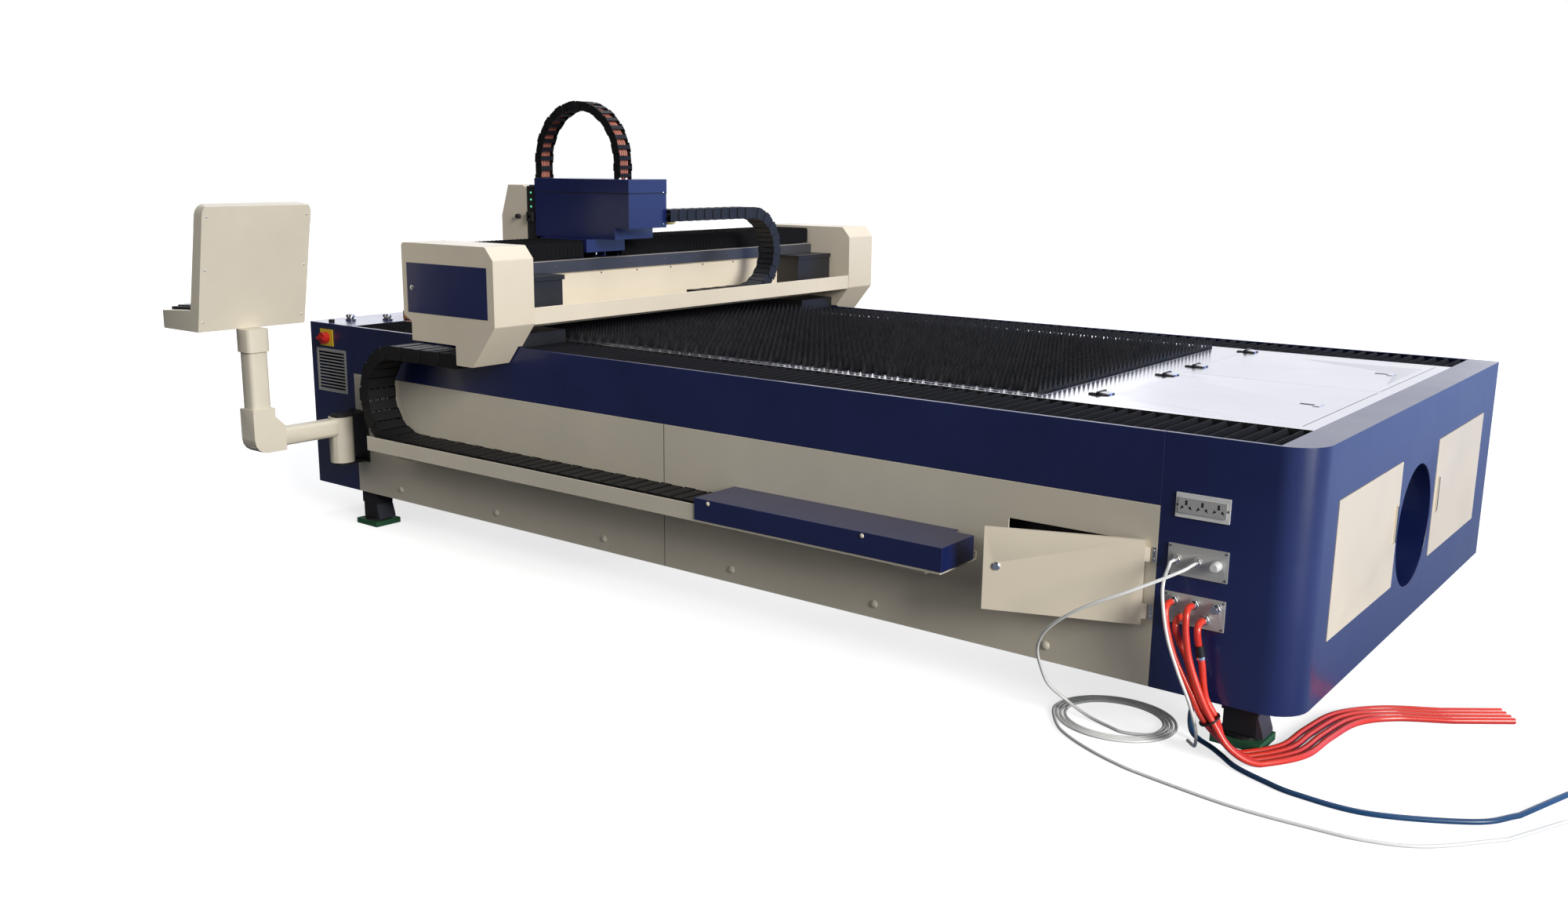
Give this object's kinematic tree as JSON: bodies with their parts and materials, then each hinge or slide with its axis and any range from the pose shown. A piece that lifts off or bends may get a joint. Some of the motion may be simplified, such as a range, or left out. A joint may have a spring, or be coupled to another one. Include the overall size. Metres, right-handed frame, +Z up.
{
  "type": "fiber laser cutting machine",
  "caption": "Fiber laser cutting machine with a slat table, moving gantry, cutting head, drag chains, bellows, side console and hoses.",
  "frame": {"origin": "middle of the machine's footprint, on the floor, measured without the loose hoses and tubes", "axes": "+X along the bed towards the end with the exhaust hole, +Y away from the operator's long side, +Z up"},
  "size_m": [5.3654, 3.2353, 1.9709],
  "materials": {
    "navy_paint": "satin",
    "cream_paint": "satin",
    "grey_cream_paint": "satin",
    "black_steel": "matt",
    "dark_slat_steel": "mill scale",
    "brushed_stainless": "brushed",
    "bellows_cloth": "matt",
    "chain_plastic": "matt",
    "panel_aluminium": "brushed",
    "switch_yellow": "satin",
    "switch_red": "satin",
    "red_hose": "glossy",
    "blue_hose": "satin",
    "white_tube": "glossy"
  },
  "bodies": {
    "bed": {"bed_frame": "black_steel", "side_band_near": "navy_paint", "side_band_far": "navy_paint", "side_panel_near": "grey_cream_paint", "side_panel_far": "grey_cream_paint", "end_unit_left": "navy_paint", "end_unit_right": "navy_paint", "deck_frame": "brushed_stainless", "slat_table": "dark_slat_steel", "chain_tray": "grey_cream_paint", "chain_tray_cover": "navy_paint", "x_chain_lower": "chain_plastic", "bellows_right_near": "bellows_cloth", "bellows_right_far": "bellows_cloth", "vent_grille": "panel_aluminium", "switch_plate": "switch_yellow", "socket_panel": "panel_aluminium", "gas_panel": "panel_aluminium", "water_panel": "panel_aluminium", "console_bracket": "black_steel", "red_hose_1": "red_hose", "red_hose_2": "red_hose", "red_hose_3": "red_hose", "red_hose_4": "red_hose", "white_tube_short": "white_tube", "white_tube_drop": "white_tube", "white_tube_coil": "white_tube", "white_tube_run": "white_tube", "blue_hose": "blue_hose"},
    "gantry": {"gantry_beam": "cream_paint", "gantry_end_near": "cream_paint", "gantry_end_far": "cream_paint", "ledge_box_near": "black_steel", "ledge_box_far": "black_steel", "y_bellows_near": "bellows_cloth", "y_bellows_far": "bellows_cloth", "y_chain_lower": "chain_plastic", "x_chain_upper": "chain_plastic", "bellows_left_near": "bellows_cloth", "bellows_left_far": "bellows_cloth"},
    "x_chain_bend": {"x_chain_loop": "chain_plastic"},
    "y_chain_bend": {"y_chain_loop": "chain_plastic"},
    "carriage": {"saddle": "navy_paint", "head_box": "navy_paint", "y_chain_upper": "chain_plastic", "z_chain": "chain_plastic"},
    "z_slide": {"z_plate": "navy_paint", "head_cover": "cream_paint", "cutting_head": "panel_aluminium"},
    "side_door": {"side_door": "cream_paint"},
    "end_door_near": {"end_door_near": "cream_paint"},
    "end_door_far": {"end_door_far": "cream_paint"},
    "deck_lid_near": {"deck_lid_near": "brushed_stainless"},
    "deck_lid_far": {"deck_lid_far": "brushed_stainless"},
    "housing_door_near": {"housing_door_near": "navy_paint"},
    "housing_door_far": {"housing_door_far": "navy_paint"},
    "switch_knob": {"switch_knob": "switch_red"},
    "console_arm": {"console_arm": "grey_cream_paint"},
    "console_head": {"console_box": "grey_cream_paint", "console_keyboard": "black_steel"}
  },
  "joints": [
    {"name": "gantry_travel", "type": "slide", "parent": "bed", "child": "gantry", "axis": [1, 0, 0], "range_m": [0, 2.8], "deforming": ["bellows_right_near", "bellows_right_far", "bellows_left_near", "bellows_left_far", "x_chain_lower", "x_chain_upper"]},
    {"name": "x_chain_roll", "type": "slide", "parent": "bed", "child": "x_chain_bend", "axis": [1, 0, 0], "range_m": [0, 1.4]},
    {"name": "carriage_travel", "type": "slide", "parent": "gantry", "child": "carriage", "axis": [0, 1, 0], "range_m": [-0.34, 1.1], "deforming": ["y_bellows_near", "y_bellows_far", "y_chain_lower", "y_chain_upper"]},
    {"name": "y_chain_roll", "type": "slide", "parent": "gantry", "child": "y_chain_bend", "axis": [0, 1, 0], "range_m": [-0.17, 0.55]},
    {"name": "z_travel", "type": "slide", "parent": "carriage", "child": "z_slide", "axis": [0, 0, 1], "range_m": [-0.065, 0.05], "deforming": ["z_chain"]},
    {"name": "side_door_hinge", "type": "hinge", "parent": "bed", "child": "side_door", "pos_m": [1.871, -0.86895, 0.49], "axis": [0, 0, 1], "range_deg": [-21, 14]},
    {"name": "end_door_near_hinge", "type": "hinge", "parent": "bed", "child": "end_door_near", "pos_m": [2.34, -0.63335, 0.56], "axis": [0, 0, -1], "range_deg": [0, 100]},
    {"name": "end_door_far_hinge", "type": "hinge", "parent": "bed", "child": "end_door_far", "pos_m": [2.34, 1.22305, 0.56], "axis": [0, 0, 1], "range_deg": [0, 100]},
    {"name": "deck_lid_near_hinge", "type": "hinge", "parent": "bed", "child": "deck_lid_near", "pos_m": [1.4745, -0.11315, 0.957], "axis": [0, 1, 0], "range_deg": [-100, 0]},
    {"name": "deck_lid_far_hinge", "type": "hinge", "parent": "bed", "child": "deck_lid_far", "pos_m": [1.4745, 0.69385, 0.957], "axis": [0, 1, 0], "range_deg": [-100, 0]},
    {"name": "housing_door_near_hinge", "type": "hinge", "parent": "gantry", "child": "housing_door_near", "pos_m": [-0.825, -1.05195, 1.1865], "axis": [0, 0, 1], "range_deg": [0, 100]},
    {"name": "housing_door_far_hinge", "type": "hinge", "parent": "gantry", "child": "housing_door_far", "pos_m": [-0.825, 1.61665, 1.1865], "axis": [0, 0, -1], "range_deg": [0, 100]},
    {"name": "switch_turn", "type": "hinge", "parent": "bed", "child": "switch_knob", "pos_m": [-2.218, -0.88665, 0.882], "axis": [0, 1, 0], "range_deg": [0, 90]},
    {"name": "console_arm_swing", "type": "hinge", "parent": "bed", "child": "console_arm", "pos_m": [-1.983, -0.96765, 0.44], "axis": [0, 0, 1], "range_deg": [-80, 15]},
    {"name": "console_swivel", "type": "hinge", "parent": "console_arm", "child": "console_head", "pos_m": [-1.988, -1.38265, 0.99], "axis": [0, 0, 1], "range_deg": [-60, 60]}
  ],
  "couplings": [
    {"joint": "x_chain_roll", "follows": "gantry_travel", "ratio": 0.5},
    {"joint": "y_chain_roll", "follows": "carriage_travel", "ratio": 0.5}
  ]
}
